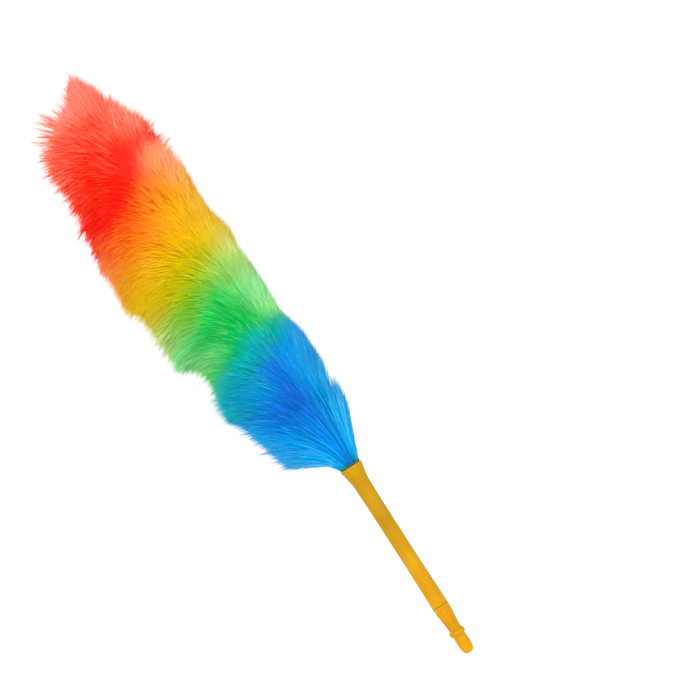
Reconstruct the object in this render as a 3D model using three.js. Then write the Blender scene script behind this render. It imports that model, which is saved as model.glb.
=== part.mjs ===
// Synthetic-fibre duster: a slim yellow moulded handle and a long plume of
// rainbow-dyed polypropylene fibre caught in a twisted steel wire.
// Millimetres, +Z up along the handle towards the plume's tip, +X to the side
// that the plume leans away from. Origin: centre of the hand grip.
import * as THREE from "three";

// ---------------------------------------------------------------- dimensions
const GRIP_ABOVE_BUTT = 92; // origin's height above the butt
const HANDLE_LEN = 183.5; // butt to socket rim
const PLUG_LEN = 46; // visible length of the end plug: tip, bead and barrel
const PLUG_SPIGOT = 13; // length of its spigot inside the handle
const WALL = 1.5; // handle wall
const SEG = 28; // facets round the handle
const GAP = 0.3; // clearance between pieces that touch

const WIRE_R = 0.9; // 1.8 mm galvanised wire
const TWIST_R = 1.15; // half the distance between the two legs
const TWIST_PITCH = 22; // one turn holds one tuft
const WIRE_START = 127; // cut ends, height above the butt
const EYE_TOP = 523.5; // top of the folded eye
const EYE_HALF = 2.3; // half-width of the eye
const BORE_R = 2.75; // hole that the twist leaves in each tuft

const ROOT_H = 181.6; // where the first tuft starts, just inside the rim
const PITCH = 22; // tuft spacing along the wire
const TUFTS = 16;
const TSEG = 20; // facets round a tuft
const TUFT_GAP = 1.0; // between neighbouring tufts
const FLEX_AFTER = [3, 6, 10, 13]; // the core flexes above these tufts
const FLEX_WEDGE = 4.6; // degrees opened on each side of a flexing place
const INSET = 4; // tufts' dense part inside the plume's outline
const DEPTH = 0.96; // depth of the plume over its width

// Outline of the plume: height above the socket rim, left edge, right edge.
const OUTLINE = [
  [0, -10.5, 10.5], [7.5, -21.6, 13.3], [15.8, -36.5, 16.6], [24.1, -45.5, 19.1],
  [32.4, -48.1, 23.2], [49, -52.3, 29.9], [65.6, -58.9, 30.7], [82.2, -65.0, 29.1],
  [98.8, -64.7, 27.4], [115.4, -63.0, 26.6], [132, -67.4, 22.8], [148.6, -74.5, 20.8],
  [181.8, -76.8, 21.2], [206.7, -82.4, 20.8], [231.6, -83.0, 19.1], [264.8, -81.3, 17.0],
  [298, -79.2, 19.0], [314.6, -78.4, 18.3], [331.2, -80.6, 16.0], [347.8, -80.2, 5.8],
  [356, -77.2, 0.8], [364.4, -71.4, -3.0], [372.7, -61.6, -6.6], [381, -53.4, -9.6],
  [389.3, -38.2, -12.5], [397.6, -20.5, -19.5],
];

// --------------------------------------------------------------- materials
const mat = (color, roughness, metalness = 0) =>
  new THREE.MeshStandardMaterial({ color, roughness, metalness });
const yellowPlastic = mat(0xdf9c08, 0.35);
const bushPlastic = mat(0xe9e4d6, 0.6);
const glueMat = mat(0xd9cfae, 0.5);
const steel = mat(0xb4b6b8, 0.35, 1);
const thread = mat(0x0d5f6e, 0.85);
const dye = { blue: 0x1188e0, green: 0x24bd60, yellow: 0xf0b40a, red: 0xf53a28 };

const z = (h) => h - GRIP_ABOVE_BUTT; // height above the butt to row Z

const group = new THREE.Group();
function add(name, geometry, material) {
  const mesh = new THREE.Mesh(geometry, material);
  mesh.name = name;
  group.add(mesh);
  return mesh;
}
// a body of revolution about Z from [radius, height above butt] pairs
function turned(profile, seg = SEG) {
  const pts = profile.map(([r, h]) => new THREE.Vector2(r, z(h)));
  const g = new THREE.LatheGeometry(pts, seg);
  g.rotateX(Math.PI / 2);
  return g;
}

// ------------------------------------------------------------------ handle
// outside radius of the handle, by height above the butt
const STEM = [
  [46.3, 7.35], [49, 7.3], [62, 7.25], [82, 7.1], [104, 7.0], [126, 7.05],
  [146, 7.15], [158, 7.3], [166, 7.55], [169.2, 7.8], [172, 8.25], [176, 9.0],
  [180.4, 9.95], [182.6, 10.4], [HANDLE_LEN, 10.3],
];
const shell = [];
for (const [h, r] of STEM) shell.push([r, h]);
shell.push([9.0, HANDLE_LEN], [8.8, 181.2], [7.9, 176], [6.7, 168], [6.05, 158],
  [5.7, 140], [5.7, 46.3]);
shell.push([STEM[0][1], STEM[0][0]]);
add("handle_shell", turned(shell), yellowPlastic);

// end plug: flat-ended bullet tip, bead, flared barrel with a ring, cored spigot
add("end_plug", turned([
  [0, 0], [2.3, 0], [3.9, 0.85], [4.9, 2.4], [5.5, 5], [5.8, 9], [5.75, 14.0], [5.6, 17.3],
  [6.5, 17.7], [7.2, 19.0], [7.2, 21.0], [6.5, 22.2], [5.55, 22.7],
  [5.7, 26], [6.35, 32], [7.05, 38], [7.3, 41.6], [7.0, 42.2], [7.0, 42.9], [7.4, 43.5],
  [7.35, PLUG_LEN - 0.0], [5.4, PLUG_LEN], [5.4, PLUG_LEN + PLUG_SPIGOT - 1],
  [4.9, PLUG_LEN + PLUG_SPIGOT], [3.2, PLUG_LEN + PLUG_SPIGOT], [3.2, 16], [0, 14],
]), yellowPlastic);

// bush pressed in the socket; the twisted wire passes through it
const BUSH_TOP = 176;
const BUSH_BOTTOM = 142;
add("socket_bush", turned([
  [BORE_R, BUSH_BOTTOM], [5.3, BUSH_BOTTOM], [5.35, 150], [5.7, 158], [6.35, 168],
  [7.5, BUSH_TOP], [BORE_R, BUSH_TOP], [BORE_R, BUSH_BOTTOM],
], 20), bushPlastic);
// steel washer under the bush that the clinched wire pulls against
add("clinch_washer", turned([
  [BORE_R, BUSH_BOTTOM - 1.5], [5.3, BUSH_BOTTOM - 1.5], [5.3, BUSH_BOTTOM - GAP],
  [BORE_R, BUSH_BOTTOM - GAP], [BORE_R, BUSH_BOTTOM - 1.5],
], 20), steel);
// hot-melt fillet round the wire on top of the bush
add("socket_glue", turned([
  [BORE_R, BUSH_TOP + GAP], [7.3, BUSH_TOP + GAP], [7.9, 178.4], [5.2, 180.2], [BORE_R, 181.2],
  [BORE_R, BUSH_TOP + GAP],
], 20), glueMat);
// thread wound round the fibre roots where they leave the rim
add("root_binding", turned([
  [8.2, 182.0], [8.6, 182.0], [9.0, HANDLE_LEN + GAP], [9.9, HANDLE_LEN + GAP],
  [9.9, 185.4], [9.4, 185.9], [8.2, 185.9], [8.2, 182.0],
], 24), thread);

// ---------------------------------------------------------- core centre line
// straight out of the socket, then bowed gently towards -X
function coreX(h) {
  const d = Math.max(0, h - HANDLE_LEN);
  return d < 166 ? (-0.13 * d * d) / 332 : -10.79 - 0.13 * (d - 166);
}
function coreSlope(h) {
  const d = Math.max(0, h - HANDLE_LEN);
  return d < 166 ? (-0.26 * d) / 332 : -0.13;
}
// a point beside the core: u to its right in the XZ plane, v along +Y
function beside(h, u, v) {
  const t = Math.atan(coreSlope(h));
  return new THREE.Vector3(coreX(h) + u * Math.cos(t), v, z(h) - u * Math.sin(t));
}

// -------------------------------------------------------------- twisted wire
// one wire folded at the eye: up one leg, round the eye and down the other
class FoldedWire extends THREE.Curve {
  constructor() {
    super();
    this.legTop = EYE_TOP - 5.5;
    this.leg = this.legTop - WIRE_START;
    this.bend = 11;
    this.total = 2 * this.leg + this.bend;
  }
  getPoint(t, target = new THREE.Vector3()) {
    const s = t * this.total;
    if (s >= this.leg && s <= this.leg + this.bend) {
      // the eye: a flattened loop in the plane that the legs reach it in
      const q = (s - this.leg) / this.bend;
      const a = (2 * Math.PI * this.leg) / TWIST_PITCH;
      const w = Math.PI * q;
      const half = TWIST_R + (EYE_HALF - TWIST_R) * Math.sin(w);
      const side = Math.cos(w) * half;
      const up = this.legTop + 5.5 * Math.sin(w) ** 0.8;
      return target.copy(beside(up, side * Math.cos(a), side * Math.sin(a)));
    }
    const second = s > this.leg;
    const along = second ? this.total - s : s;
    const h = WIRE_START + along;
    const a = (2 * Math.PI * along) / TWIST_PITCH + (second ? Math.PI : 0);
    return target.copy(beside(h, TWIST_R * Math.cos(a), TWIST_R * Math.sin(a)));
  }
}
const section = new THREE.Shape();
for (let i = 0; i < 6; i++) {
  const a = (i * Math.PI) / 3;
  if (i) section.lineTo(WIRE_R * Math.cos(a), WIRE_R * Math.sin(a));
  else section.moveTo(WIRE_R, 0);
}
section.closePath();
const wirePath = new FoldedWire();
wirePath.arcLengthDivisions = 4000;
add("core_wire", new THREE.ExtrudeGeometry(section, {
  steps: 236, extrudePath: wirePath, curveSegments: 1, bevelEnabled: false,
}), steel);

// -------------------------------------------------------------------- tufts
function outline(h) {
  const d = h - HANDLE_LEN;
  for (let i = 1; i < OUTLINE.length; i++) {
    if (d <= OUTLINE[i][0]) {
      const [d0, l0, r0] = OUTLINE[i - 1];
      const [d1, l1, r1] = OUTLINE[i];
      const f = Math.max(0, (d - d0) / (d1 - d0));
      return [l0 + f * (l1 - l0), r0 + f * (r1 - r0)];
    }
  }
  return OUTLINE[OUTLINE.length - 1].slice(1);
}
const rad = THREE.MathUtils.degToRad;
// rim of the swept surface that leaves the core at height h: fibres rise more
// on the right than on the left
function rim(h, angle, lift, slopeShift = 0) {
  const c = Math.cos(angle);
  const slope = Math.tan(rad(14 + 6 * c + slopeShift));
  const guess = outline(h + 45 * Math.tan(rad(14 + 6 * c)));
  const left = guess[0] + INSET;
  const right = guess[1] - INSET;
  const mid = (left + right) / 2;
  const half = (right - left) / 2;
  const x = mid + half * c;
  const y = half * DEPTH * Math.sin(angle);
  const r = Math.hypot(x - coreX(h), y);
  return new THREE.Vector3(x, y, z(h) + lift + r * slope);
}
function ring(h, radius, angle, lift) {
  return beside(h + lift, radius * Math.cos(angle), radius * Math.sin(angle));
}
// LatheGeometry gives the closed topology; every vertex is then placed by its
// ring (row of the profile) and its angle
function placed(rows, at) {
  const pts = [];
  for (let j = 0; j < rows; j++) pts.push(new THREE.Vector2(1 + j, j));
  const g = new THREE.LatheGeometry(pts, TSEG);
  const pos = g.attributes.position;
  for (let i = 0; i <= TSEG; i++) {
    const angle = ((i % TSEG) * 2 * Math.PI) / TSEG;
    for (let j = 0; j < rows; j++) {
      const p = at(j, angle);
      pos.setXYZ(i * rows + j, p.x, p.y, p.z);
    }
  }
  return g;
}

const colourOf = (i) => (i <= 5 ? "blue" : i <= 9 ? "green" : i <= 12 ? "yellow" : "red");
const count = {};
for (let i = 1; i <= TUFTS; i++) {
  const colour = colourOf(i);
  count[colour] = (count[colour] || 0) + 1;
  const low = ROOT_H + PITCH * (i - 1);
  const high = ROOT_H + PITCH * i;
  const lowShift = FLEX_AFTER.includes(i - 1) ? FLEX_WEDGE : 0;
  const highShift = FLEX_AFTER.includes(i) ? -FLEX_WEDGE : 0;
  const g0 = TUFT_GAP / 2;
  let geometry;
  if (i === 1) {
    // neck inside the binding, then a cone that opens out of the socket
    const flare = (h, c) => {
      const [l, r] = outline(h);
      return [(l + r) / 2 + (INSET - 1) * 0, (r - l) / 2 - (h > 190 ? INSET : 0), c];
    };
    const at = (j, a) => {
      const c = Math.cos(a);
      const s = Math.sin(a);
      if (j === 0 || j === 7) return ring(low, BORE_R, a, 0);
      if (j === 1) return new THREE.Vector3(7.9 * c, 7.9 * s, z(low));
      if (j === 2) return new THREE.Vector3(7.9 * c, 7.9 * s, z(186.2));
      if (j === 3) {
        const [m, w] = flare(191, c);
        return new THREE.Vector3(m + w * c, w * DEPTH * s, z(191));
      }
      if (j === 4) {
        const [m, w] = flare(199.5, c);
        return new THREE.Vector3(m + w * c, w * DEPTH * s, z(199.5));
      }
      if (j === 5) return rim(high, a, -g0, highShift);
      return ring(high, BORE_R, a, -g0);
    };
    geometry = placed(8, at);
  } else if (i === TUFTS) {
    // the tip: a rounded dome over the wire's eye
    const dome = [0, 352, 362, 373, 383, 390];
    const at = (j, a) => {
      const c = Math.cos(a);
      const s = Math.sin(a);
      if (j === 0 || j === 10) return ring(low, 3.9, a, g0);
      if (j === 1) return rim(low, a, g0, lowShift);
      if (j <= 6) {
        const d = dome[j - 1];
        const [l, r] = outline(HANDLE_LEN + d);
        const m = (l + r) / 2;
        const w = Math.max(3, (r - l) / 2 - INSET * (1 - 0.12 * j));
        return new THREE.Vector3(m + w * c, w * DEPTH * s, z(HANDLE_LEN + d));
      }
      if (j === 7) {
        const [l, r] = outline(HANDLE_LEN + 390);
        return new THREE.Vector3((l + r) / 2, 0, z(HANDLE_LEN + 393));
      }
      return null;
    };
    // closed in two stretches: outside up to the apex, inside down the blind hole
    const rows = [0, 1, 2, 3, 4, 5, 6, 7, 8, 9];
    const inner = (j, a) => {
      if (j === 8) return beside(EYE_TOP + 2.5, 0, 0);
      return ring(EYE_TOP + 2.5, 3.9, a, 0);
    };
    const outside = placed(8, (j, a) => at(j, a));
    const inside = placed(3, (j, a) =>
      j === 0 ? inner(8, a) : j === 1 ? inner(9, a) : at(10, a));
    geometry = { outside, inside, rows };
  } else {
    const at = (j, a) => {
      if (j === 0 || j === 4) return ring(low, BORE_R, a, g0);
      if (j === 1) return rim(low, a, g0, lowShift);
      if (j === 2) return rim(high, a, -g0, highShift);
      return ring(high, BORE_R, a, -g0);
    };
    geometry = placed(5, at);
  }
  if (geometry.outside) {
    const both = new THREE.BufferGeometry();
    const a = geometry.outside.attributes.position;
    const b = geometry.inside.attributes.position;
    const array = new Float32Array(a.array.length + b.array.length);
    array.set(a.array);
    array.set(b.array, a.array.length);
    const index = [...geometry.outside.index.array];
    for (const v of geometry.inside.index.array) index.push(v + a.count);
    both.setAttribute("position", new THREE.BufferAttribute(array, 3));
    both.setIndex(index);
    geometry = both;
  }
  // each tuft's own centre is the place on the core that grips it
  const home = new THREE.Vector3(coreX(low), 0, z(low));
  geometry.translate(-home.x, -home.y, -home.z);
  const mesh = add(`${colour}_tuft_${count[colour]}`, geometry, mat(dye[colour], 0.9));
  mesh.position.copy(home);
}

export default group;
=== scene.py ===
# Looks for the synthetic-fibre duster: every visible piece is built here, in metres,
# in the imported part's own frame (+Z along the handle to the plume's tip, the plume
# leans to -X). Lengths below are in millimetres, heights h are above the butt.
import math

import bpy
import numpy as np
from mathutils import Matrix, Vector


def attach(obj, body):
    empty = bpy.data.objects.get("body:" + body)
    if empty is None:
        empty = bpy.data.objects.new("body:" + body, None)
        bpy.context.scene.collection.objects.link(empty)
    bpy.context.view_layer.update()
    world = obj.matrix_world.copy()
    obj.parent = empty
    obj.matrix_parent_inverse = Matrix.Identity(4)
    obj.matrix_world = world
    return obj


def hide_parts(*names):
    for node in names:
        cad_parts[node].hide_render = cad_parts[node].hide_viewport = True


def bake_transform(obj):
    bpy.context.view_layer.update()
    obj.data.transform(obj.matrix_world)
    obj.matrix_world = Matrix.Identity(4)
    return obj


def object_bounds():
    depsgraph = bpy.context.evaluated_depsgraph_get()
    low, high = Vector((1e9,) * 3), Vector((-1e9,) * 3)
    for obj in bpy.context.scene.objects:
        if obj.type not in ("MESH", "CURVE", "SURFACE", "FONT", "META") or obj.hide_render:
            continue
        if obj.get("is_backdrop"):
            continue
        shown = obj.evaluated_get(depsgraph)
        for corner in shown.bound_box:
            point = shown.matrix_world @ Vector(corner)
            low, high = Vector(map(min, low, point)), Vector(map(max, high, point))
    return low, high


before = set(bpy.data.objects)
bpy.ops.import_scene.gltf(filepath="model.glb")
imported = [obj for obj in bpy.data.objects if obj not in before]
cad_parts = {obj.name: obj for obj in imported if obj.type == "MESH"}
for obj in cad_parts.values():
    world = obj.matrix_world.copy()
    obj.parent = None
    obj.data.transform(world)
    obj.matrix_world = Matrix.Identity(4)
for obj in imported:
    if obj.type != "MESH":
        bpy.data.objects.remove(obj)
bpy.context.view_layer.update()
MM = 0.001
BUTT = 92.0  # the origin is this far above the butt
RIM = 183.5  # height of the socket rim
scene = bpy.context.scene


# ------------------------------------------------------------------ helpers
def srgb(code):
    """'#rrggbb' as linear r, g, b."""
    v = [int(code[i : i + 2], 16) / 255 for i in (1, 3, 5)]
    return [c / 12.92 if c <= 0.04045 else ((c + 0.055) / 1.055) ** 2.4 for c in v]


def mesh_from(name, verts, faces, uv=None, smooth=True):
    """A mesh object from numpy arrays. faces is a list of arrays, one per polygon size."""
    me = bpy.data.meshes.new(name)
    me.vertices.add(len(verts))
    me.vertices.foreach_set("co", np.asarray(verts, np.float32).ravel())
    loops = np.concatenate([f.ravel() for f in faces]).astype(np.int32)
    sizes = np.concatenate([np.full(len(f), f.shape[1], np.int32) for f in faces])
    starts = np.concatenate([[0], np.cumsum(sizes)[:-1]]).astype(np.int32)
    me.loops.add(len(loops))
    me.loops.foreach_set("vertex_index", loops)
    me.polygons.add(len(sizes))
    me.polygons.foreach_set("loop_start", starts)
    me.polygons.foreach_set("loop_total", sizes)
    if smooth:
        me.polygons.foreach_set("use_smooth", np.ones(len(sizes), bool))
    if uv is not None:
        layer = me.uv_layers.new(name="OFBake")
        layer.data.foreach_set("uv", np.asarray(uv, np.float32)[loops].ravel())
    me.update(calc_edges=True)
    ob = bpy.data.objects.new(name, me)
    scene.collection.objects.link(ob)
    return ob


def new_material(name):
    m = bpy.data.materials.new(name)
    m.use_nodes = True
    return m, m.node_tree.nodes, m.node_tree.links


def ramp(nodes, stops):
    """A colour ramp node from (position, '#rrggbb') stops."""
    n = nodes.new("ShaderNodeValToRGB")
    n.color_ramp.interpolation = "LINEAR"
    el = n.color_ramp.elements
    while len(el) > 1:
        el.remove(el[-1])
    el[0].position = stops[0][0]
    el[0].color = (*srgb(stops[0][1]), 1)
    for p, c in stops[1:]:
        e = el.new(p)
        e.color = (*srgb(c), 1)
    return n


# --------------------------------------------------- core line and outline
def core_x(h):
    d = np.maximum(0.0, np.asarray(h, float) - RIM)
    return np.where(d < 166, -0.13 * d * d / 332, -10.79 - 0.13 * (d - 166))


def core_slope(h):
    d = np.maximum(0.0, np.asarray(h, float) - RIM)
    return np.where(d < 166, -0.26 * d / 332, -0.13)


# height above the rim, left edge, right edge of the plume
OUTLINE = np.array(
    [
        [-6, -9.0, 9.0], [0, -10.4, 10.4], [3.5, -13.0, 11.8], [7.5, -17.5, 13.2], [15.8, -31.5, 16.6],
        [24.1, -44.5, 19.4], [32.4, -49.5, 23.4], [49, -53.3, 29.9], [65.6, -59.4, 31.2], [82.2, -65.8, 29.6],
        [98.8, -65.0, 27.9], [107, -61.5, 27.4], [115.4, -59.5, 26.8], [125, -59.0, 25.0], [132, -61.0, 22.9],
        [138.5, -68.0, 21.6], [142.5, -74.5, 21.2], [148.6, -75.8, 21.0], [165, -77.3, 21.6], [181.8, -76.6, 21.6], [198, -80.0, 21.0],
        [206.7, -84.6, 20.9], [215, -84.8, 22.0], [231.6, -83.2, 20.0], [248, -83.2, 16.2], [264.8, -81.8, 17.0],
        [281.4, -80.6, 18.6], [298, -77.0, 20.8], [314.6, -77.0, 19.2], [331.2, -80.2, 16.6], [340, -79.4, 11.4],
        [347.8, -75.0, 5.2], [356, -66.0, 0.8], [364.4, -54.5, -3.0], [372.7, -41.0, -7.0], [381, -33.5, -9.8],
        [389.3, -30.0, -13.2], [396.0, -24.5, -17.0], [399, -21, -19.5],
    ]
)
DEPTH = 0.96


def edges(d):
    return (
        np.interp(d, OUTLINE[:, 0], OUTLINE[:, 1]),
        np.interp(d, OUTLINE[:, 0], OUTLINE[:, 2]),
    )


# half the depth, which is evened out along the plume so that the notch stays at one side
EVEN_D = np.arange(-6.0, 402.0, 2.0)
EVEN_A = np.array([np.mean([(r_ - l_) / 2 for l_, r_ in zip(*edges(np.linspace(max(d_ - w_, -6), min(d_ + w_, 402), 21)))])
                   for d_ in EVEN_D for w_ in [min(24.0, max(d_, 2.0) * 0.4, max(402 - d_, 2.0) * 0.4)]])


def inside(x, y, h):
    d = h - RIM
    left, right = edges(d)
    m, a = (left + right) / 2, (right - left) / 2
    deep_ = np.interp(d, EVEN_D, EVEN_A)
    return ((x - m) / a) ** 2 + (y / (DEPTH * deep_)) ** 2 < 1, d < 399


def row(x, y, h):
    """Millimetres with height above the butt to metres in the part's frame."""
    return np.stack([x, y, np.asarray(h) - BUTT], -1) * MM


# ------------------------------------------------------------------- camera
ROLL = math.radians(32.72)
right = Vector((math.cos(ROLL), 0, -math.sin(ROLL)))
up = Vector((math.sin(ROLL), 0, math.cos(ROLL)))
back = right.cross(up)
cam_data = bpy.data.cameras.new("camera")
cam = bpy.data.objects.new("camera", cam_data)
scene.collection.objects.link(cam)
cam_data.lens = 100
cam_data.sensor_width = 36
WIDE = 0.581  # what the frame takes in, at the handle's axis
DIST = WIDE * cam_data.lens / cam_data.sensor_width
# the frame's centre lies 0.1727 above the grip and 0.0517 to its right
centre = Vector((0.0517, 0.0, 0.1727))
turn = Matrix((right, up, back)).transposed()
cam.matrix_world = Matrix.Translation(centre + back * DIST) @ turn.to_4x4()
cam_data.clip_start = 0.05
cam_data.clip_end = 60
scene.camera = cam

# -------------------------------------------------------------------- stage
scene.view_settings.view_transform = "Standard"
scene.view_settings.look = "None"
world = bpy.data.worlds.new("studio")
world.use_nodes = True
world.node_tree.nodes["Background"].inputs["Color"].default_value = (1, 1, 1, 1)
world.node_tree.nodes["Background"].inputs["Strength"].default_value = 1.05
scene.world = world

FLOOR_Z = -0.24
n_seg = 96
ring_a = np.linspace(0, 2 * math.pi, n_seg, endpoint=False)
floor_v = np.concatenate(
    [
        [[0, 0, FLOOR_Z]],
        np.stack([9 * np.cos(ring_a), 9 * np.sin(ring_a), np.full(n_seg, FLOOR_Z)], -1),
    ]
)
k = np.arange(n_seg)
floor = mesh_from(
    "floor", floor_v, [np.stack([np.zeros(n_seg, int), 1 + k, 1 + (k + 1) % n_seg], -1)], smooth=False
)
m, nodes, links = new_material("floor_white")
b = nodes["Principled BSDF"]
b.inputs["Base Color"].default_value = (0.92, 0.92, 0.92, 1)
b.inputs["Roughness"].default_value = 0.9
b.inputs["Specular IOR Level"].default_value = 0.1
floor.data.materials.append(m)
floor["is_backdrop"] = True


def sun(name, towards, strength, angle):
    """A broad soft light; towards is the way it shines."""
    data = bpy.data.lights.new(name, "SUN")
    data.energy = strength
    data.angle = math.radians(angle)
    ob = bpy.data.objects.new(name, data)
    scene.collection.objects.link(ob)
    ob.rotation_mode = "QUATERNION"
    ob.rotation_quaternion = Vector(towards).to_track_quat("-Z", "Y")
    return ob


# the key comes from over the camera's left shoulder, as the camera sees it
sun("key", -(back * 1.0 + up * 0.12 + right * -0.10), 3.0, 14)
sun("fill", -(back * 1.0 + up * 0.35 + right * -0.6), 0.9, 60)
sun("behind", -(back * -1.0 + up * 0.20 + right * 0.15), 3.2, 100)
sun("right", -(right * 1.0 + back * -0.25 + up * 0.1), 1.9, 100)
sun("left", -(right * -1.0 + back * -0.25 + up * 0.1), 1.9, 100)
sun("sparkle", -(back * 1.0 + up * 0.50 + right * 0.75), 1.1, 3)


# ------------------------------------------------------------------- plastic
m_handle, nodes, links = new_material("amber_plastic")
b = nodes["Principled BSDF"]
b.inputs["IOR"].default_value = 1.49
b.inputs["Specular IOR Level"].default_value = 0.08
tc = nodes.new("ShaderNodeTexCoord")
n1 = nodes.new("ShaderNodeTexNoise")
n1.inputs["Scale"].default_value = 38
n1.inputs["Detail"].default_value = 3
links.new(tc.outputs["Object"], n1.inputs["Vector"])
cr = ramp(nodes, [(0.30, "#7e5b00"), (0.52, "#876200"), (0.72, "#8e6a00")])
links.new(n1.outputs["Fac"], cr.inputs["Fac"])
cr2 = ramp(nodes, [(0.30, "#906200"), (0.52, "#986a00"), (0.72, "#9c7200")])
links.new(n1.outputs["Fac"], cr2.inputs["Fac"])
sz = nodes.new("ShaderNodeSeparateXYZ")
links.new(tc.outputs["Object"], sz.inputs["Vector"])
low = nodes.new("ShaderNodeMapRange")  # 1 at the butt, 0 at the rim
low.inputs["From Min"].default_value = 0.05
low.inputs["From Max"].default_value = -0.04
links.new(sz.outputs["Z"], low.inputs["Value"])
mixz = nodes.new("ShaderNodeMix")
mixz.data_type = "RGBA"
links.new(low.outputs["Result"], mixz.inputs["Factor"])
links.new(cr.outputs["Color"], mixz.inputs["A"])
links.new(cr2.outputs["Color"], mixz.inputs["B"])
links.new(mixz.outputs["Result"], b.inputs["Base Color"])
n2 = nodes.new("ShaderNodeTexNoise")
n2.inputs["Scale"].default_value = 420
n2.inputs["Detail"].default_value = 4
links.new(tc.outputs["Object"], n2.inputs["Vector"])
mr = nodes.new("ShaderNodeMapRange")
mr.inputs["To Min"].default_value = 0.11
mr.inputs["To Max"].default_value = 0.20
links.new(n2.outputs["Fac"], mr.inputs["Value"])
links.new(mr.outputs["Result"], b.inputs["Roughness"])
n3 = nodes.new("ShaderNodeTexNoise")
n3.inputs["Scale"].default_value = 900
n3.inputs["Detail"].default_value = 2
links.new(tc.outputs["Object"], n3.inputs["Vector"])
bump = nodes.new("ShaderNodeBump")
bump.inputs["Strength"].default_value = 0.25
bump.inputs["Distance"].default_value = 0.00006
links.new(n3.outputs["Fac"], bump.inputs["Height"])
links.new(bump.outputs["Normal"], b.inputs["Normal"])


def plain(name, code, rough, metal=0.0, noise=0.0, scale=300, bump_d=0.0):
    """A material with a little noise in its colour, roughness and surface."""
    m, nodes, links = new_material(name)
    b = nodes["Principled BSDF"]
    c = srgb(code)
    b.inputs["Metallic"].default_value = metal
    tc = nodes.new("ShaderNodeTexCoord")
    n = nodes.new("ShaderNodeTexNoise")
    n.inputs["Scale"].default_value = scale
    n.inputs["Detail"].default_value = 4
    links.new(tc.outputs["Object"], n.inputs["Vector"])
    mix = nodes.new("ShaderNodeMix")
    mix.data_type = "RGBA"
    mix.inputs["A"].default_value = (*[x * (1 - noise) for x in c], 1)
    mix.inputs["B"].default_value = (*[min(1, x * (1 + noise)) for x in c], 1)
    links.new(n.outputs["Fac"], mix.inputs["Factor"])
    links.new(mix.outputs["Result"], b.inputs["Base Color"])
    mr = nodes.new("ShaderNodeMapRange")
    mr.inputs["To Min"].default_value = rough * 0.85
    mr.inputs["To Max"].default_value = min(1.0, rough * 1.15)
    links.new(n.outputs["Fac"], mr.inputs["Value"])
    links.new(mr.outputs["Result"], b.inputs["Roughness"])
    if bump_d:
        bu = nodes.new("ShaderNodeBump")
        bu.inputs["Strength"].default_value = 0.5
        bu.inputs["Distance"].default_value = bump_d
        links.new(n.outputs["Fac"], bu.inputs["Height"])
        links.new(bu.outputs["Normal"], b.inputs["Normal"])
    return m


m_bush = plain("bush_plastic", "#e9e4d6", 0.55, noise=0.04, scale=200, bump_d=0.0001)
m_steel = plain("galvanised_wire", "#b4b6b8", 0.34, metal=1.0, noise=0.12, scale=900, bump_d=0.00004)
m_glue = plain("hot_melt", "#dccf9e", 0.3, noise=0.06, scale=250, bump_d=0.0002)
# the thread's dark green is painted shade: the shadow in the gap between the fibres and the rim
m_thread_shade = plain("binding_thread", "#054a30", 0.8, noise=0.3, scale=1500, bump_d=0.0001)

for node, mat in (("socket_bush", m_bush), ("clinch_washer", m_steel), ("socket_glue", m_glue)):
    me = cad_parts[node].data
    me.materials.clear()
    me.materials.append(mat)


# -------------------------------------------------------------------- handle
def smooth_profile(points, per=6):
    """Catmull-Rom through (radius, height) points; a point with a third value 1 is a crisp edge."""
    pts = [p if len(p) == 3 else (*p, 0) for p in points]
    out = []
    for i in range(len(pts) - 1):
        p1, p2 = np.array(pts[i][:2]), np.array(pts[i + 1][:2])
        crisp1, crisp2 = pts[i][2], pts[i + 1][2]
        p0 = np.array(pts[i - 1][:2]) if i > 0 and not crisp1 else 2 * p1 - p2
        p3 = np.array(pts[i + 2][:2]) if i + 2 < len(pts) and not crisp2 else 2 * p2 - p1
        span = np.linalg.norm(p2 - p1)
        n = int(np.clip(round(span / 0.45), 2, 14)) if per else 2
        for q in range(n):
            t = q / n
            out.append(
                0.5
                * (
                    2 * p1
                    + (p2 - p0) * t
                    + (2 * p0 - 5 * p1 + 4 * p2 - p3) * t * t
                    + (3 * p1 - p0 - 3 * p2 + p3) * t * t * t
                )
            )
    out.append(np.array(pts[-1][:2]))
    out = np.array(out)
    out[:, 0] = np.maximum(out[:, 0], 0)
    return out


def turned(name, profile, seg, relief=None):
    """A closed body of revolution from (radius, height) rows that start and end on the axis or meet."""
    prof = np.asarray(profile, float)
    closed = np.allclose(prof[0], prof[-1])
    if closed:
        prof = prof[:-1]
    n = len(prof)
    a = np.arange(seg) * 2 * math.pi / seg
    on_axis = (prof[:, 0] < 1e-6) & (not closed)
    r = np.repeat(prof[:, 0][:, None], seg, 1)
    h = np.repeat(prof[:, 1][:, None], seg, 1)
    if relief is not None:
        r = r + np.where(r > 1e-6, relief(r, h, a[None, :]), 0)
    x, y = r * np.cos(a), r * np.sin(a)
    verts = row(x.ravel(), y.ravel(), h.ravel())
    index = np.arange(n * seg).reshape(n, seg)
    for i in range(n):
        if on_axis[i]:
            index[i, :] = index[i, 0]
    quads, tris = [], []
    rows_ = range(n if closed else n - 1)
    nxt = np.roll(np.arange(seg), -1)
    for i in rows_:
        j = (i + 1) % n
        p, q = index[i], index[j]
        if on_axis[i]:
            tris.append(np.stack([p, q[nxt], q], -1))
        elif on_axis[j]:
            tris.append(np.stack([p, p[nxt], q], -1))
        else:
            quads.append(np.stack([p, p[nxt], q[nxt], q], -1))
    used = np.unique(np.concatenate([f.ravel() for f in quads + tris]))
    remap = np.full(n * seg, -1)
    remap[used] = np.arange(len(used))
    faces = [remap[np.concatenate(f)] for f in (quads, tris) if f]
    return mesh_from(name, verts[used], faces)


SEG = 144


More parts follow.
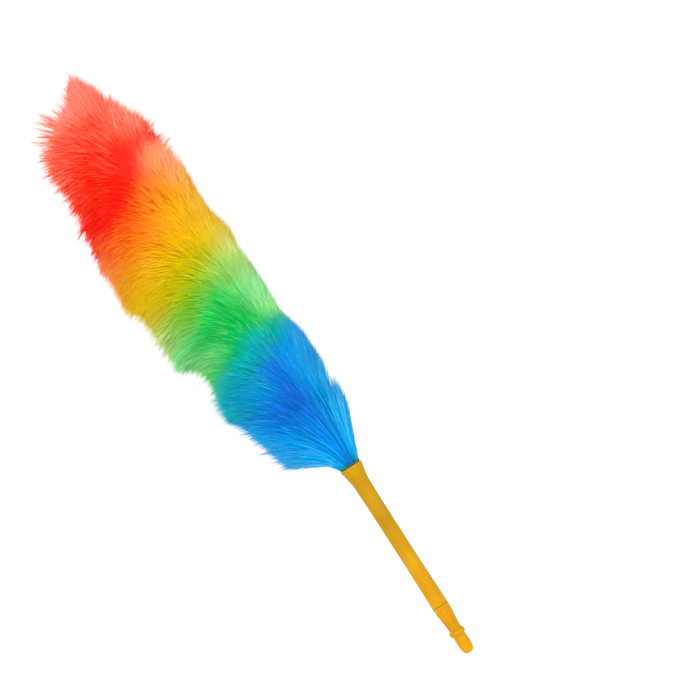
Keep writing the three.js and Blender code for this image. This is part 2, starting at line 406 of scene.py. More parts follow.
def shell_relief(r, h, a):
    """Parting lines of the mould on both sides, a small ejector mark, and slight unevenness."""
    out = 0
    for at in (math.radians(-8), math.radians(172)):
        da = np.angle(np.exp(1j * (a - at)))
        out = out + 0.09 * np.exp(-((da * r / 0.32) ** 2)) * (h < RIM - 0.8)
    da = np.angle(np.exp(1j * (a - math.radians(-58))))
    out = out + 0.22 * np.exp(-((da * r / 1.5) ** 2) - ((h - 169.2 - 0.25 * da * r) / 0.42) ** 2)
    out = out + 0.05 * np.sin(0.21 * h + 2 * a) * np.sin(0.083 * h + 1.3)
    return np.where(r > 5.0, out, 0) * 1.0


outer = smooth_profile(
    [
        (7.05, 46.35, 1), (7.35, 46.7, 0), (7.32, 49), (7.25, 62), (7.1, 82), (7.0, 104), (7.05, 126),
        (7.15, 146), (7.3, 158), (7.55, 166), (7.8, 169.2), (8.25, 172), (9.0, 176), (9.95, 180.4),
        (10.42, 182.5), (10.35, 183.2, 0), (10.0, 183.5, 1),
    ]
)
inner = np.array(
    [(9.1, 183.5), (8.9, 183.1), (8.8, 181.2), (7.9, 176), (6.7, 168), (6.05, 158), (5.7, 140), (5.7, 46.35), (7.05, 46.35)]
)


def only_outside(r, h, a):
    limit = np.interp(h, outer[:, 1], outer[:, 0]) - 0.25
    return np.where(r > limit, shell_relief(r, h, a), 0)


shell = turned("handle_shell_moulded", np.concatenate([outer, inner]), SEG, only_outside)
shell.data.materials.append(m_handle)
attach(shell, "root")
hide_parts("handle_shell")

plug_out = smooth_profile(
    [
        (0, 0.0, 1), (2.1, 0.0), (2.7, 0.12), (3.9, 0.85), (4.9, 2.5), (5.5, 5), (5.8, 9), (5.75, 13.5),
        (5.6, 16.6), (5.6, 17.2, 1), (6.35, 17.5), (7.0, 18.3), (7.22, 19.4), (7.24, 20.6), (7.0, 21.6),
        (6.35, 22.3), (5.6, 22.6, 1), (5.66, 24.5), (5.95, 28.5), (6.5, 33.5), (7.05, 38), (7.28, 41.0),
        (7.3, 41.7, 0), (7.05, 42.15, 0), (7.0, 42.6, 0), (7.1, 43.0, 0), (7.42, 43.4, 0), (7.45, 44.4), (7.42, 45.5),
        (7.2, 45.95, 0), (7.0, 46.0, 1),
    ]
)
plug_in = np.array([(5.4, 46.0), (5.4, 58.0), (4.9, 59.0), (3.2, 59.0), (3.2, 16.0), (0, 14.0)])


def plug_relief(r, h, a):
    limit = np.interp(h, plug_out[:, 1], plug_out[:, 0]) - 0.25
    out = 0
    for at in (math.radians(-8), math.radians(172)):
        da = np.angle(np.exp(1j * (a - at)))
        out = out + 0.08 * np.exp(-((da * r / 0.3) ** 2)) * (h > 1.5) * (h < 45.5)
    return np.where((r > limit) & (r > 2.8), out, 0)


plug = turned("end_plug_moulded", np.concatenate([plug_out, plug_in]), SEG, plug_relief)
plug.data.materials.append(m_handle)
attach(plug, "root")
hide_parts("end_plug")


# --------------------------------------------------------- tubes along a path
def tube(name, path, radius, sides=8, closed=False):
    """A round tube along points in metres, with rounded-off flat ends."""
    p = np.asarray(path, float)
    n = len(p)
    if closed:
        t = np.roll(p, -1, 0) - np.roll(p, 1, 0)
    else:
        t = np.gradient(p, axis=0)
    t /= np.linalg.norm(t, axis=1)[:, None]
    u = np.zeros_like(p)
    ref = np.array([0, 1.0, 0]) if abs(t[0] @ [0, 1.0, 0]) < 0.9 else np.array([1.0, 0, 0])
    u[0] = np.cross(t[0], ref)
    u[0] /= np.linalg.norm(u[0])
    for i in range(1, n):
        v = u[i - 1] - t[i] * (u[i - 1] @ t[i])
        u[i] = v / np.linalg.norm(v)
    w = np.cross(t, u)
    a = np.arange(sides) * 2 * math.pi / sides
    verts = (
        p[:, None, :]
        + radius * (np.cos(a)[None, :, None] * u[:, None, :] + np.sin(a)[None, :, None] * w[:, None, :])
    ).reshape(-1, 3)
    idx = np.arange(n * sides).reshape(n, sides)
    nx = np.roll(np.arange(sides), -1)
    rows_ = n if closed else n - 1
    quads = np.concatenate(
        [np.stack([idx[i], idx[i][nx], idx[(i + 1) % n][nx], idx[(i + 1) % n]], -1) for i in range(rows_)]
    )
    faces = [quads]
    if not closed:
        verts = np.concatenate([verts, [p[0], p[-1]]])
        a0, a1 = n * sides, n * sides + 1
        tri = np.concatenate(
            [
                np.stack([np.full(sides, a0), idx[0][nx], idx[0]], -1),
                np.stack([np.full(sides, a1), idx[-1], idx[-1][nx]], -1),
            ]
        )
        faces.append(tri)
    return mesh_from(name, verts, faces)


def beside(h, u, v):
    t = np.arctan(core_slope(h))
    return row(core_x(h) + u * np.cos(t), v, h - u * np.sin(t))


# thread wound round the fibre roots on the rim; its dark green is painted shade, standing for the shadow in the gap
# where the fibres go into the rim
turns, per_turn = 3.0, 40
q = np.linspace(0, turns, int(turns * per_turn))
rr = 9.6 + 0.05 * np.sin(q * 31)
path = row(rr * np.cos(2 * math.pi * q), rr * np.sin(2 * math.pi * q), 184.0 + 0.36 * q + 0.04 * np.sin(q * 17))
binding = tube("root_binding_thread", path, 0.26 * MM, 8)
binding.data.materials.append(m_thread_shade)
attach(binding, "root")
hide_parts("root_binding")


def bend(piece):
    """Bakes the piece's placement into its mesh."""
    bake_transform(piece)


# twisted wire core, in stretches
WIRE_R, TWIST_R, TWIST_PITCH = 0.9, 1.15, 22.0
LEG_TOP = 518.0


def leg_path(h, side):
    a = 2 * math.pi * (h - 127.0) / TWIST_PITCH + side * math.pi
    return beside(h, TWIST_R * np.cos(a), TWIST_R * np.sin(a))


def join(obs, name):
    for o in bpy.context.selected_objects:
        o.select_set(False)
    for o in obs:
        o.select_set(True)
    bpy.context.view_layer.objects.active = obs[0]
    bpy.ops.object.join()
    obs[0].name = name
    obs[0].data.name = name
    return obs[0]


cuts = [127.0, 214.0, 280.6, 357.6, 434.6, LEG_TOP]
for i in range(5):
    lo, hi = cuts[i], cuts[i + 1]
    n = max(6, int((hi - lo) / (1.3)))
    hs = np.linspace(lo, hi, n)
    if i < 4:
        legs = [tube(f"wire_leg_{i}_{s}", leg_path(hs, s), WIRE_R * MM, 10) for s in (0, 1)]
        wire = join(legs, f"core_wire_{i + 1}")
    else:
        a = 2 * math.pi * (LEG_TOP - 127.0) / TWIST_PITCH
        w = np.linspace(0, math.pi, 24)[1:-1]
        half = TWIST_R + 1.15 * np.sin(w)
        side = np.cos(w) * half
        uph = LEG_TOP + 5.5 * np.sin(w) ** 0.8
        eye = beside(uph, side * math.cos(a), side * math.sin(a))
        wire = tube(
            "core_wire_5", np.concatenate([leg_path(hs, 0), eye, leg_path(hs[::-1], 1)]), WIRE_R * MM, 10
        )
    wire.data.materials.append(m_steel)
    if i == 0:
        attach(wire, "root")
        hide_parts("core_wire")
    else:
        bend(wire)

# -------------------------------------------------------------- fibre colour
# Places along the plume are given in steps of K mm, counted so that the rim is at 221
# and the top is at about 700. A colour's own coordinate runs the same way, 215 to 700.
# The deep colour is the dyed fibre in the thick of the plume. The pale one is the
# same dye with painted light in it: it stands for the light that shines through and
# round the fibres where few of them lie over each other, at the plume's edges and tips.
K = 0.83
S0, S1 = 215.0, 700.0


def place(h):
    return 221 + (np.asarray(h, float) - RIM) / K


def height(s):
    return RIM + (np.asarray(s, float) - 221) * K


def hue(u):
    return (u - S0) / (S1 - S0)


DEEP = [
    (215, "#0891c0"), (260, "#038fcf"), (282, "#0371c5"), (300, "#1264c3"), (318, "#037ec8"), (338, "#038eaf"),
    (352, "#03a0a8"), (362, "#03a595"), (372, "#03a961"), (382, "#03b559"), (400, "#03a63d"), (412, "#03c659"),
    (426, "#66b139"), (440, "#6db119"), (452, "#a1b503"), (462, "#b2aa03"), (475, "#cab303"), (490, "#d8a803"),
    (505, "#d99103"), (518, "#e67804"), (530, "#e46005"), (545, "#e42507"), (560, "#e11810"), (580, "#e31c04"),
    (604, "#e92908"), (622, "#ec290b"), (642, "#ee3414"), (662, "#ee6149"), (700, "#ee7a62"),
]
PALE = [
    (215, "#98d2e2"), (262, "#78c5e0"), (300, "#62c0de"), (340, "#67c9d2"), (362, "#88d6b0"), (382, "#d1fcae"),
    (402, "#b2e7b0"), (426, "#bbce8d"), (444, "#e7e69d"), (462, "#e0c56a"), (480, "#e4bc5e"), (500, "#efe37a"),
    (518, "#f6b18c"), (535, "#eea081"), (560, "#e5423c"), (585, "#ed9171"), (610, "#eac2a3"), (640, "#dfa38c"),
    (700, "#dea79c"),
]

# which colour a fibre has by the place of its outer end: across the plume (-1 at the
# edge that hangs, 1 at the other) and along it
ACROSS = np.array([-0.92, -0.75, -0.45, -0.10, 0.25, 0.60, 0.90])
COLOUR_AT = [
    [(215, 215), (297, 256), (298, 335), (318, 343), (336, 354), (354, 364), (372, 384), (400, 404), (420, 432), (440, 449),
     (452, 470), (480, 496), (498, 512), (520, 528), (538, 538), (552, 560), (600, 604), (700, 692)],
    [(215, 215), (304, 260), (305, 334), (328, 343), (342, 353), (358, 364), (374, 384), (400, 402), (420, 429), (440, 448),
     (456, 470), (480, 494), (500, 509), (520, 522), (540, 536), (556, 560), (600, 602), (700, 692)],
    [(215, 215), (262, 254), (284, 262), (300, 288), (312, 333), (330, 336), (345, 341), (360, 352), (374, 380), (400, 400),
     (420, 424), (440, 447), (460, 470), (480, 490), (500, 508), (520, 519), (540, 546), (560, 568), (600, 602), (700, 694)],
    [(215, 215), (260, 258), (282, 284), (300, 301), (320, 316), (340, 338), (360, 353), (372, 370), (380, 381),
     (400, 400), (420, 421), (440, 440), (460, 463), (480, 479), (500, 500), (520, 518), (540, 536), (560, 560),
     (600, 600), (700, 696)],
    [(215, 215), (262, 262), (282, 286), (300, 300), (345, 304), (352, 336), (366, 346), (380, 368), (390, 382),
     (400, 390), (420, 405), (440, 428), (460, 456), (480, 478), (500, 492), (520, 506), (540, 517), (560, 527),
     (580, 552), (600, 580), (640, 640), (700, 696)],
    [(215, 215), (359, 262), (360, 343), (373, 364), (383, 382), (400, 394), (420, 410), (440, 427), (460, 448),
     (474, 466), (484, 478), (500, 489), (520, 497), (540, 506), (562, 517), (584, 522), (592, 552), (612, 590),
     (640, 636), (700, 694)],
    [(215, 215), (367, 262), (368, 346), (380, 370), (390, 384), (404, 394), (420, 408), (440, 425), (460, 446),
     (474, 462), (484, 476), (500, 490), (520, 498), (540, 506), (562, 518), (588, 530), (598, 560), (620, 600), (700, 690)],
]
# how far a fibre is mixed towards its pale colour, by place along and across the plume: painted light, most at the
# two edges and at the top, where the plume is thin and light comes through
PALE_S = np.array([215, 260, 300, 340, 370, 385, 400, 420, 440, 460, 480, 500, 520, 540, 560, 580, 600, 620, 640, 660, 700])
PALE_ACROSS = np.array([-1.0, -0.75, -0.45, -0.10, 0.25, 0.60, 0.88])
PAINTED_LIGHT_AT = np.array([
    [50, 35, 25, 22, 28, 55, 56, 56, 44, 26, 18, 16, 30, 26, 18, 16, 20, 34, 40, 52, 58],
    [25, 12, 5, 5, 8, 34, 38, 42, 30, 8, 3, 4, 14, 12, 6, 4, 4, 14, 26, 42, 52],
    [0, 0, 0, 0, 5, 26, 24, 24, 10, 2, 0, 0, 5, 3, 0, 0, 0, 4, 15, 38, 48],
    [0, 0, 0, 0, 0, 2, 0, 0, 0, 0, 0, 0, 0, 0, 0, 0, 0, 2, 12, 26, 40],
    [0, 0, 0, 0, 0, 0, 0, 2, 4, 2, 0, 0, 0, 3, 5, 16, 6, 8, 11, 23, 34],
    [0, 0, 0, 0, 2, 8, 12, 22, 26, 18, 4, 2, 2, 4, 20, 52, 40, 34, 28, 27, 36],
    [12, 12, 10, 10, 14, 34, 52, 58, 52, 50, 40, 18, 16, 20, 60, 80, 70, 64, 56, 52, 56],
]) / 100


def across_mix(nu, knots):
    j = np.clip(np.searchsorted(knots, nu) - 1, 0, len(knots) - 2)
    w = np.clip((nu - knots[j]) / (knots[j + 1] - knots[j]), 0, 1)
    return j, w


def colour_of(s, nu):
    table = np.stack([np.interp(s, [p for p, _ in c], [q for _, q in c]) for c in COLOUR_AT])
    j, w = across_mix(nu, ACROSS)
    i = np.arange(len(s))
    one, two = table[j, i], table[j + 1, i]
    # where the two sides differ a fibre has the colour of one or the other, not their mean
    toss = np.modf(np.abs(np.sin(s * 12.9898 + nu * 78.233)) * 43758.5453)[0]
    return np.where(np.abs(one - two) > 35, np.where(toss < w, two, one), one * (1 - w) + two * w)


def painted_light_of(s, nu):
    table = np.stack([np.interp(s, PALE_S, row_) for row_ in PAINTED_LIGHT_AT])
    j, w = across_mix(nu, PALE_ACROSS)
    i = np.arange(len(s))
    return table[j, i] * (1 - w) + table[j + 1, i] * w


m_fibre, nodes, links = new_material("polypropylene_fibre")
b = nodes["Principled BSDF"]
b.inputs["Roughness"].default_value = 0.55
b.inputs["IOR"].default_value = 1.49
b.inputs["Specular IOR Level"].default_value = 0.03
uvn = nodes.new("ShaderNodeUVMap")
uvn.uv_map = "OFBake"
sep = nodes.new("ShaderNodeSeparateXYZ")
links.new(uvn.outputs["UV"], sep.inputs["Vector"])
deep = ramp(nodes, [(hue(s), c) for s, c in DEEP])
pale = ramp(nodes, [(hue(s), c) for s, c in PALE])
links.new(sep.outputs["X"], deep.inputs["Fac"])
links.new(sep.outputs["X"], pale.inputs["Fac"])
# painted shade: the fibre is darkened a little towards its root, deep in the plume
painted_root_shade = nodes.new("ShaderNodeMix")
painted_root_shade.data_type = "RGBA"
painted_root_shade.blend_type = "MULTIPLY"
painted_root_shade.inputs["Factor"].default_value = 1.0
painted_shade_ramp = ramp(nodes, [(0.0, "#dcdcdc"), (0.18, "#ffffff")])
links.new(sep.outputs["Y"], painted_shade_ramp.inputs["Fac"])
links.new(deep.outputs["Color"], painted_root_shade.inputs["A"])
links.new(painted_shade_ramp.outputs["Color"], painted_root_shade.inputs["B"])
# painted light: the fibre is mixed towards its pale colour towards the tip and where the plume is thin
painted_pale_mix = nodes.new("ShaderNodeMix")
painted_pale_mix.data_type = "RGBA"
mr = nodes.new("ShaderNodeMapRange")
mr.inputs["From Min"].default_value = 0.25
mr.inputs["From Max"].default_value = 1.0
links.new(sep.outputs["Y"], mr.inputs["Value"])
links.new(mr.outputs["Result"], painted_pale_mix.inputs["Factor"])
links.new(painted_root_shade.outputs["Result"], painted_pale_mix.inputs["A"])
links.new(pale.outputs["Color"], painted_pale_mix.inputs["B"])
links.new(painted_pale_mix.outputs["Result"], b.inputs["Base Color"])

# -------------------------------------------------------------------- fibres
PITCH, ROOT = 22.0, 181.6
# angle of the fibres forward of square, on the two sides of the plume
SWEEP_S = np.array([221, 235, 250, 262, 300, 330, 365, 385, 415, 445, 480, 510, 545, 565, 600, 612, 630, 655.0])
SWEEP_LEFT = np.array([31, 30, 33, 34, 25, 18, 8, 0, -14, -8, -4, -12, -18, -6, 17, 31, 46, 62.0])
SWEEP_RIGHT = np.array([71, 70, 68, 66, 60, 58, 57, 57, 57, 57, 57, 57, 57, 58, 60, 62, 66, 78.0])
DOWN = np.array([-math.sin(ROLL), 0, -math.cos(ROLL)])  # the way the fibres sag as it is held


def ripple(seed, low=20.0, high=75.0, parts=18):
    """Smooth noise of about unit size over the azimuth and the height."""
    g = np.random.default_rng(seed)
    ka = g.integers(1, 9, parts)
    kh = 2 * math.pi / g.uniform(low, high, parts) * g.choice([-1, 1], parts)
    ph = g.random(parts) * 2 * math.pi
    amp = g.uniform(0.6, 1.0, parts)
    amp = amp / np.sqrt((amp**2).sum() / 2)

    def f(az, h):
        out = np.zeros_like(az)
        for i in range(parts):
            out += amp[i] * np.cos(ka[i] * az + kh[i] * h + ph[i])
        return out

    return f


n_sweep, n_turn, n_long, n_hue, n_tone = (ripple(s_) for s_ in (11, 12, 13, 14, 15))


def reach_along(p0, direction, most=80.0):
    """How far each ray from p0 (x, y, h in mm) runs before it leaves the outline."""
    best = np.full(len(p0), 4.0)
    going = np.ones(len(p0), bool)
    for s in np.arange(4, most, 1.0):
        q = p0 + direction * s
        ins, low = inside(q[:, 0], q[:, 1], q[:, 2])
        going &= ins & low
        best = np.where(going, s, best)
    return best


def azimuths(rng, n, s_root):
    """Directions round the core, more of them where the plume reaches further."""
    a = rng.random(n * 4) * 2 * math.pi
    h = min(float(height(s_root)) + 20, 555.0)
    left, right = edges(h - RIM)
    cx = core_x(h)
    l, r = cx - left, right - cx
    want = (l + r) / 2 - (l - r) / 2 * np.cos(a)
    a = a[rng.random(n * 4) < (want / max(l, r, 1)) ** 0.7]
    while len(a) < n:
        a = np.concatenate([a, a])
    return a[:n]


def unit(v):
    return v / np.linalg.norm(v, axis=-1)[..., None]


def guides(rng, tuft, n):
    """Root, middle and tip of n small locks of a tuft, in mm."""
    low = ROOT + PITCH * (tuft - 1)
    h0 = low + rng.random(n) * PITCH
    s0 = place(h0)
    az = azimuths(rng, n, place(low + PITCH / 2))
    f = (1 - np.cos(az)) / 2  # 1 on the side that hangs
    gr = np.interp(s0, SWEEP_S, SWEEP_RIGHT)
    gl = np.interp(s0, SWEEP_S, SWEEP_LEFT)
    g0 = np.radians(gr)
    t = np.tan(np.radians(gl))
    sag = (np.sin(g0) - np.cos(g0) * t) / (math.cos(ROLL) + math.sin(ROLL) * t)
    sag = np.clip(sag, 0, 1.7) * f**1.1
    loose_ = rng.random(n)
    if tuft <= 2:  # the first fibres fan out of the rim, the inner ones nearly straight
        part = 0.62 if tuft == 1 else 0.30
        inner_ = loose_ < part
        k_ = rng.random(n)
        g0 = np.where(inner_, g0 + (math.radians(86) - g0) * k_, g0)
        sag = np.where(inner_, sag * (1 - 0.85 * k_), sag)
    if tuft >= 14:  # the top closes like a fan
        part = {14: 0.30, 15: 0.70, 16: 0.95}[tuft]
        inner_ = loose_ < part
        k_ = rng.random(n) ** (1.3 if tuft < 16 else 0.8)
        g0 = np.where(inner_, g0 + (math.radians(89) - g0) * k_, g0)
        sag = np.where(inner_, sag * (1 - 0.9 * k_), sag)
    if 4 <= tuft <= 13:  # on the two faces they lie flatter
        g0 = g0 + math.radians(6.0) * np.sin(az) ** 2
    g0 = g0 + np.radians(1.2 * n_sweep(az, h0) + rng.normal(0, 2.0, n))
    g0 = np.clip(g0, math.radians(20), math.radians(89.5))
    az = az + 0.035 * n_turn(az, h0) + rng.normal(0, 0.03, n)
    tilt = np.arctan(core_slope(h0))
    zero = np.zeros(n)
    along = np.stack([np.sin(tilt), zero, np.cos(tilt)], -1)
    side = np.stack([np.cos(tilt), zero, -np.sin(tilt)], -1)
    outw = side * np.cos(az)[:, None] + np.array([0, 1.0, 0]) * np.sin(az)[:, None]
    r0 = np.full(n, 1.7)
    if tuft == 1:  # gripped in a ring just inside the rim
        ring_ = rng.random(n) < 0.72
        r0 = np.where(ring_, 8.5 * np.sqrt(rng.random(n)), 2.2)
        h0 = np.where(ring_, 184.2, np.maximum(h0, 186.0))
    p0 = np.stack([core_x(h0), zero, h0], -1) + outw * r0[:, None]
    d = unit(outw * np.cos(g0)[:, None] + along * np.sin(g0)[:, None] + DOWN * sag[:, None])
    length = reach_along(p0, d)
    for _k in range(4):  # one that would leave the outline at once stands up more
        short = length < 24
        if tuft > 13 or not short.any():
            break
        g0 = np.where(short, np.minimum(g0 + math.radians(9), math.radians(86)), g0)
        sag = np.where(short, sag * 0.7, sag)
        d2 = unit(outw * np.cos(g0)[:, None] + along * np.sin(g0)[:, None] + DOWN * sag[:, None])
        d = np.where(short[:, None], d2, d)
        length[short] = reach_along(p0[short], d[short])
    vary = np.where(rng.random(n) < 0.3, 0.060, 0.024)
    hangs = np.clip((-0.25 - np.cos(az)) / 0.3, 0, 1)
    vary = vary * (1 + 0.9 * hangs)
    if tuft > 13:
        vary = vary * 1.3
    length = length * (1.02 + 0.024 * n_long(az, h0) + np.clip(rng.normal(0, 1, n), -2.2, 1.2) * vary)
    length = np.clip(length, 9, 78)
    if tuft <= 3:
        length = np.minimum(length, 78 - (34 - 8 * tuft) * rng.random(n))
    p2 = p0 + d * length[:, None]
    perp = DOWN - d * (d @ DOWN)[:, None]
    bow = np.interp(s0, [221, 300, 360, 410, 560, 620, 660], [0.05, 0.12, 0.20, 0.26, 0.26, 0.16, 0.10])
    p1 = (p0 + p2) / 2 - perp * (length * bow)[:, None]
    if tuft <= 2:
        w = 0.6 if tuft == 1 else 0.25
        start = p0 + along * (length * 0.40)[:, None] + outw * (length * 0.12)[:, None]
        p1 = p1 + (start - p1) * w
    p1 = p1 + rng.normal(0, 0.9, (n, 3))
    p2 = p2 + rng.normal(0, 0.7, (n, 3))
    return az, h0, p0, p1, p2


# long wisps that stand out of the outline: tuft, root place, tip (across, along), depth
WISPS = [
    (15, 594, -99, 632, 3), (15, 596, -101, 640, 6), (15, 598, -98, 644, -9), (15, 600, -103, 648, -10),
    (15, 602, -96, 650, 2), (15, 604, -100, 655, 12), (15, 606, -94, 657, -6), (15, 608, -97, 664, -4),
    (16, 610, -90, 663, 0), (16, 612, -90, 671, 8), (16, 614, -84, 679, -9), (16, 614, -86, 672, -3),
    (16, 616, -80, 684, 5), (16, 618, -77, 690, -3), (16, 619, -75, 686, 7), (16, 617, -73, 677, -8),
    (16, 619, -68, 680, 3), (16, 620, -66, 674, -12), (16, 620, -60, 684, -10), (16, 621, -57, 679, 6),
    (16, 622, -52, 690, 3), (16, 622, -49, 686, 12), (16, 624, -44, 695, -6), (16, 624, -41, 692, 9),
    (16, 626, -36, 696, 0), (16, 626, -31, 697, -2), (16, 626, -26, 699, 4), (16, 626, -23, 698, -9),
    (16, 626, -18, 694, 5), (16, 625, -14, 687, -4), (16, 624, -9, 682, -8), (16, 622, -5, 674, 4),
    (16, 620, 0, 664, -5), (15, 612, 4, 657, 3), (15, 610, 7, 650, -7), (15, 604, 12, 640, 9),
    (15, 600, 15, 636, -3), (15, 596, 18, 630, -6), (14, 590, 21, 622, 3), (14, 586, 25, 616, -8),
    (14, 580, 27, 604, 7), (13, 566, 28, 597, -3), (13, 560, 27, 588, -7),
    (13, 556, -100, 545, 3), (14, 564, -99, 560, -5), (14, 570, -98, 572, 6), (14, 576, -100, 583, -3),
    (14, 582, -99, 596, 8), (14, 588, -98, 607, -6), (15, 592, -97, 618, 3), (15, 594, -99, 625, -8),
    (14, 574, -101, 577, -10), (14, 586, -99, 602, -12), (13, 560, -100, 552, 10),
    (8, 402, -84, 376, -6), (8, 404, -82, 373, 4), (9, 420, -95, 393, -8), (9, 424, -97, 396, 5),
    (11, 482, -104, 472, -7), (11, 486, -106, 476, 6), (13, 548, -103, 518, -8), (13, 552, -102, 524, 4),
    (13, 552, -99, 512, -12), (13, 546, -104, 514, 2), (2, 240, -60, 257, -5), (2, 238, -57, 252, 6),
    (2, 238, -59, 255, 0),
]


def tuft_paths(rng, tuft, total):
    n_lock = int(total * (0.20 if tuft < 13 else 0.36) / 11)
    n_free = int(total * (0.84 if tuft < 13 else 0.64))
    n_g = n_lock + n_free
    az, h0, p0, p1, p2 = guides(rng, tuft, n_g)
    left_ = np.cos(az[:n_lock]) < -0.3
    size = np.where(left_, rng.integers(10, 26, n_lock), rng.integers(1, 4 if tuft < 13 else 12, n_lock))
    size = np.concatenate([size, np.ones(n_free, int)])
    girth = np.where(left_, rng.uniform(0.8, 2.1, n_lock), rng.uniform(0.1, 0.5 if tuft < 13 else 1.2, n_lock))
    girth = np.concatenate([girth, np.zeros(n_free)])
    conv = np.clip(rng.normal(0.60 - 0.25 * (np.cos(az) < -0.4), 0.22, n_g), 0.06, 0.98)
    mine = [w for w in WISPS if w[0] == tuft]
    if mine:
        e = []
        for _, s_r, n_t, s_t, y_t in mine:
            tip = np.array([n_t * K, float(y_t), float(height(s_t))])
            hr = float(height(s_r)) + rng.normal(0, 1)
            root = np.array([float(core_x(hr)), 0.0, hr])
            v = tip - root
            o = np.array([v[0], v[1], 0.0])
            o = o / (np.linalg.norm(o) + 1e-6)
            root = root + o * 1.7
            v = tip - root
            ln = np.linalg.norm(v)
            if ln > 80:
                root = tip - v / ln * 80
                v, ln = tip - root, 80.0
            d = v / ln
            perp = DOWN - d * (d @ DOWN)
            for _k in range(6):
                j = rng.normal(0, 1.1, 3)
                e.append((math.atan2(o[1], o[0]), hr, root, (root + tip) / 2 - perp * ln * rng.uniform(0.1, 0.2) + j,
                          tip + j * 1.1 - d * abs(rng.normal(0, 3.0))))
        m_ = len(e)
        az = np.concatenate([az, [x[0] for x in e]])
        h0 = np.concatenate([h0, [x[1] for x in e]])
        p0 = np.concatenate([p0, [x[2] for x in e]])
        p1 = np.concatenate([p1, [x[3] for x in e]])
        p2 = np.concatenate([p2, [x[4] for x in e]])
        size = np.concatenate([size, rng.integers(4, 9, m_)])
        girth = np.concatenate([girth, rng.uniform(0.4, 0.9, m_)])
        conv = np.concatenate([conv, rng.uniform(0.1, 0.35, m_)])
        n_g += m_
    # colour by where the outer part lies
    vis = 0.04 * p0 + 0.32 * p1 + 0.64 * p2
    left, right = edges(vis[:, 2] - RIM)
    nu = (vis[:, 0] - (left + right) / 2) / ((right - left) / 2)
    s_vis = place(vis[:, 2])
    blur = np.interp(s_vis, [215, 330, 380, 450, 500, 520, 550, 570, 700], [5, 4, 3, 3, 4, 6, 5, 4, 4])
    blur = blur + 5 * np.exp(-(((s_vis - 306) / 14) ** 2)) * np.clip((-0.25 - nu) / 0.3, 0, 1)
    blur = blur + 10 * np.exp(-(((s_vis - 526) / 17) ** 2)) * np.clip((-0.1 - nu) / 0.35, 0, 1)
    blur = blur + 9 * np.exp(-(((s_vis - 310) / 16) ** 2)) * np.clip((-0.25 - nu) / 0.3, 0, 1)
    u_ = colour_of(s_vis + blur * 0.5 * n_hue(az, h0) + rng.normal(0, 1, n_g) * blur * 0.55, nu)
    u_ = u_ + rng.normal(0, 1.5, n_g)
    # how pale each fibre is: painted light from the table, with random tone that varies more at the top and the edges
    stripe = 0.02 + 0.10 * np.clip((s_vis - 585) / 40, 0, 1) + 0.08 * np.clip((np.abs(nu) - 0.6) / 0.3, 0, 1)
    v_ = 0.22 + 0.78 * painted_light_of(s_vis, nu) + 0.02 * n_tone(az, h0) + rng.normal(0, 1, n_g) * stripe
    i = np.repeat(np.arange(n_g), size)
    n = len(i)
    ang = rng.random(n) * 2 * math.pi
    rad = np.sqrt(rng.random(n)) * girth[i]
    d = unit((p2 - p0)[i])
    ref = np.where(np.abs(d[:, 1:2]) < 0.8, [[0, 1.0, 0]], [[1.0, 0, 0]])
    u = unit(np.cross(d, ref))
    v = np.cross(d, u)
    stray = np.where(rng.random(n) < 0.04, 2.2, 1.0)
    off = (u * (np.cos(ang) * rad)[:, None] + v * (np.sin(ang) * rad)[:, None]) * stray[:, None]
    part = 1.01 - np.abs(rng.normal(0, 0.045, n)) - 0.28 * (rng.random(n) < 0.16) * rng.random(n)
    # one fibre in twenty is paler: a painted highlight, standing for the glint along a glossy fibre
    light = np.where(rng.random(n) < 0.05, rng.uniform(0.08, 0.40, n), 0.0)
    return {
        "p0": p0[i] + rng.normal(0, 0.3, (n, 3)),
        "p1": p1[i] + rng.normal(0, 0.35, (n, 3)),
        "p2": p2[i] + rng.normal(0, 0.35, (n, 3)),
        "off": off,
        "conv": conv[i],
        "part": np.clip(part, 0.5, 1.04),
        "wave": rng.normal(0, 0.3, (n, 2)),
        "u": u,
        "v": v,
        "hue": hue(u_[i] + rng.normal(0, 1.5, n)),
        "tone": v_[i] + rng.normal(0, 0.02, n) + light,
        "ang": rng.random(n) * 2 * math.pi,
    }


T = np.array([0.0, 0.36, 0.62, 0.82, 1.0])
WIDTH = np.array([0.20, 0.24, 0.24, 0.19, 0.0])
# painted shade and light along each fibre: the root is shaded darker, the tip lit paler
ROOT_SHADE_TIP_LIGHT = np.array([-0.10, -0.04, -0.02, 0.0, 0.03])


def held(v, at, give=2.4):
    """Values beyond +-at are drawn in, to +-(at + give) at the most."""
    over = np.maximum(np.abs(v) - at, 0)
    return np.where(over > 0, np.sign(v) * (at + give * (1 - np.exp(-over / give))), v)


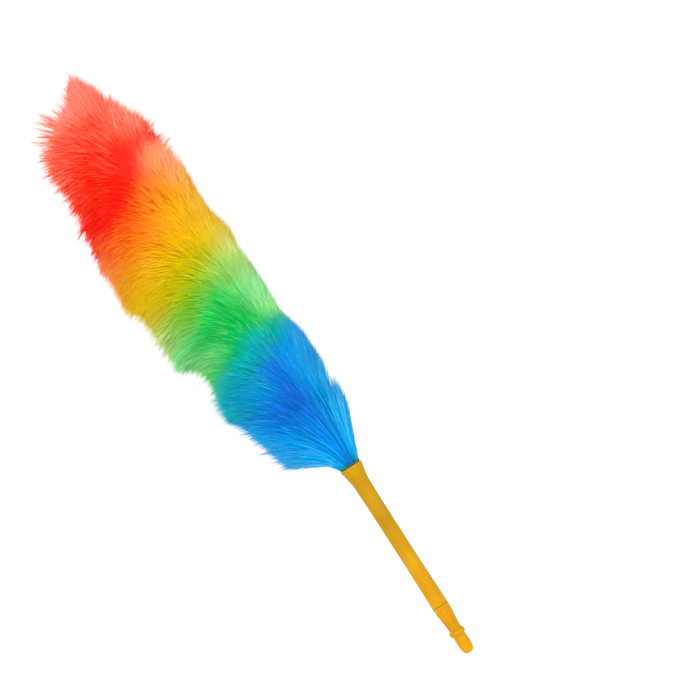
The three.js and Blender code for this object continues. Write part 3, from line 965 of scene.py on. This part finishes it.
def strands(name, s, lo, hi):
    """The fibres lo..hi of a tuft as one mesh of three-sided tapering prisms."""
    p0, p1, p2 = (s[k_][lo:hi][:, None, :] for k_ in ("p0", "p1", "p2"))
    n = hi - lo
    t = (T[None, :] * s["part"][lo:hi][:, None])[..., None]
    pos = (1 - t) ** 2 * p0 + 2 * t * (1 - t) * p1 + t**2 * p2
    tan = unit(2 * (1 - t) * (p1 - p0) + 2 * t * (p2 - p1))
    q = t[..., 0]
    conv = s["conv"][lo:hi][:, None]
    spread = np.where(q < 0.55, 0.25 + 0.75 * (q / 0.55), 1 + (conv - 1) * ((q - 0.55) / 0.45) ** 1.3)
    pos = pos + s["off"][lo:hi][:, None, :] * spread[..., None]
    # a little crimp
    wav = s["wave"][lo:hi]
    pos = (
        pos
        + s["u"][lo:hi][:, None, :] * (wav[:, :1] * np.sin(q * 7.3 + wav[:, 1:] * 9))[..., None] * q[..., None]
        + s["v"][lo:hi][:, None, :] * (wav[:, 1:] * np.sin(q * 6.1 + wav[:, :1] * 9))[..., None] * q[..., None]
    )
    pos[..., 0] = np.where(pos[..., 0] < 0, held(pos[..., 0], 88.0), pos[..., 0])
    pos[..., 1] = held(pos[..., 1], 54.5, 1.8)
    nrm = unit(np.cross(tan, s["u"][lo:hi][:, None, :]))
    bi = np.cross(tan, nrm)
    a = s["ang"][lo:hi][:, None, None] + np.arange(3)[None, None, :] * 2 * math.pi / 3
    w = WIDTH[None, :-1, None]
    ring = (
        pos[:, :-1, None, :]
        + (w * np.cos(a))[..., None] * nrm[:, :-1, None, :]
        + (w * np.sin(a))[..., None] * bi[:, :-1, None, :]
    )
    verts = np.concatenate([ring.reshape(n, 12, 3), pos[:, -1:, :]], 1)
    verts[..., 2] -= BUTT
    verts *= MM
    hue_ = np.clip(s["hue"][lo:hi], 0.006, 0.994)
    tone = s["tone"][lo:hi]
    uv = np.zeros((n, 13, 2))
    uv[:, :12, 0] = hue_[:, None] + np.tile([-0.001, 0.0, 0.001], 4)[None, :]
    uv[:, 12, 0] = hue_
    uv[:, :12, 1] = np.clip(np.repeat(ROOT_SHADE_TIP_LIGHT[:-1], 3)[None, :] + tone[:, None], 0.02, 0.95)
    uv[:, 1, 1] += 0.012
    uv[:, 12, 1] = np.clip(ROOT_SHADE_TIP_LIGHT[-1] + tone, 0.04, 0.98)
    base = np.arange(n)[:, None] * 13
    quad = []
    for r_ in range(3):
        for c in range(3):
            c2 = (c + 1) % 3
            quad.append([3 * r_ + c, 3 * r_ + c2, 3 * r_ + 3 + c2, 3 * r_ + 3 + c])
    quad = (base[:, None] + np.array(quad)[None]).reshape(-1, 4)
    tri = [[9 + c, 9 + (c + 1) % 3, 12] for c in range(3)] + [[0, 2, 1]]
    tri = (base[:, None] + np.array(tri)[None]).reshape(-1, 3)
    ob = mesh_from(name, verts.reshape(-1, 3), [quad, tri], uv.reshape(-1, 2))
    ob.data.materials.append(m_fibre)
    return ob


COLOURS = ["blue"] * 5 + ["green"] * 4 + ["yellow"] * 3 + ["red"] * 4
TOTAL = 13400  # fibres in a tuft, about
count = {}
made = 0
for tuft in range(1, 17):
    colour = COLOURS[tuft - 1]
    count[colour] = count.get(colour, 0) + 1
    rng = np.random.default_rng(1000 + tuft)
    s = tuft_paths(rng, tuft, TOTAL)
    n = min(len(s["part"]), TOTAL)
    order = rng.permutation(len(s["part"]))[:n]
    s = {k_: v_[order] for k_, v_ in s.items()}
    made += n
    halves = [(0, n // 2), (n // 2, n)]
    for j, (lo, hi) in enumerate(halves):
        piece = strands(f"{colour}_fibres_{count[colour]}{'ab'[j]}", s, lo, hi)
        bend(piece)
        if j == 0:
            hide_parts(f"{colour}_tuft_{count[colour]}")
print("fibres", made)

lo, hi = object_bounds()
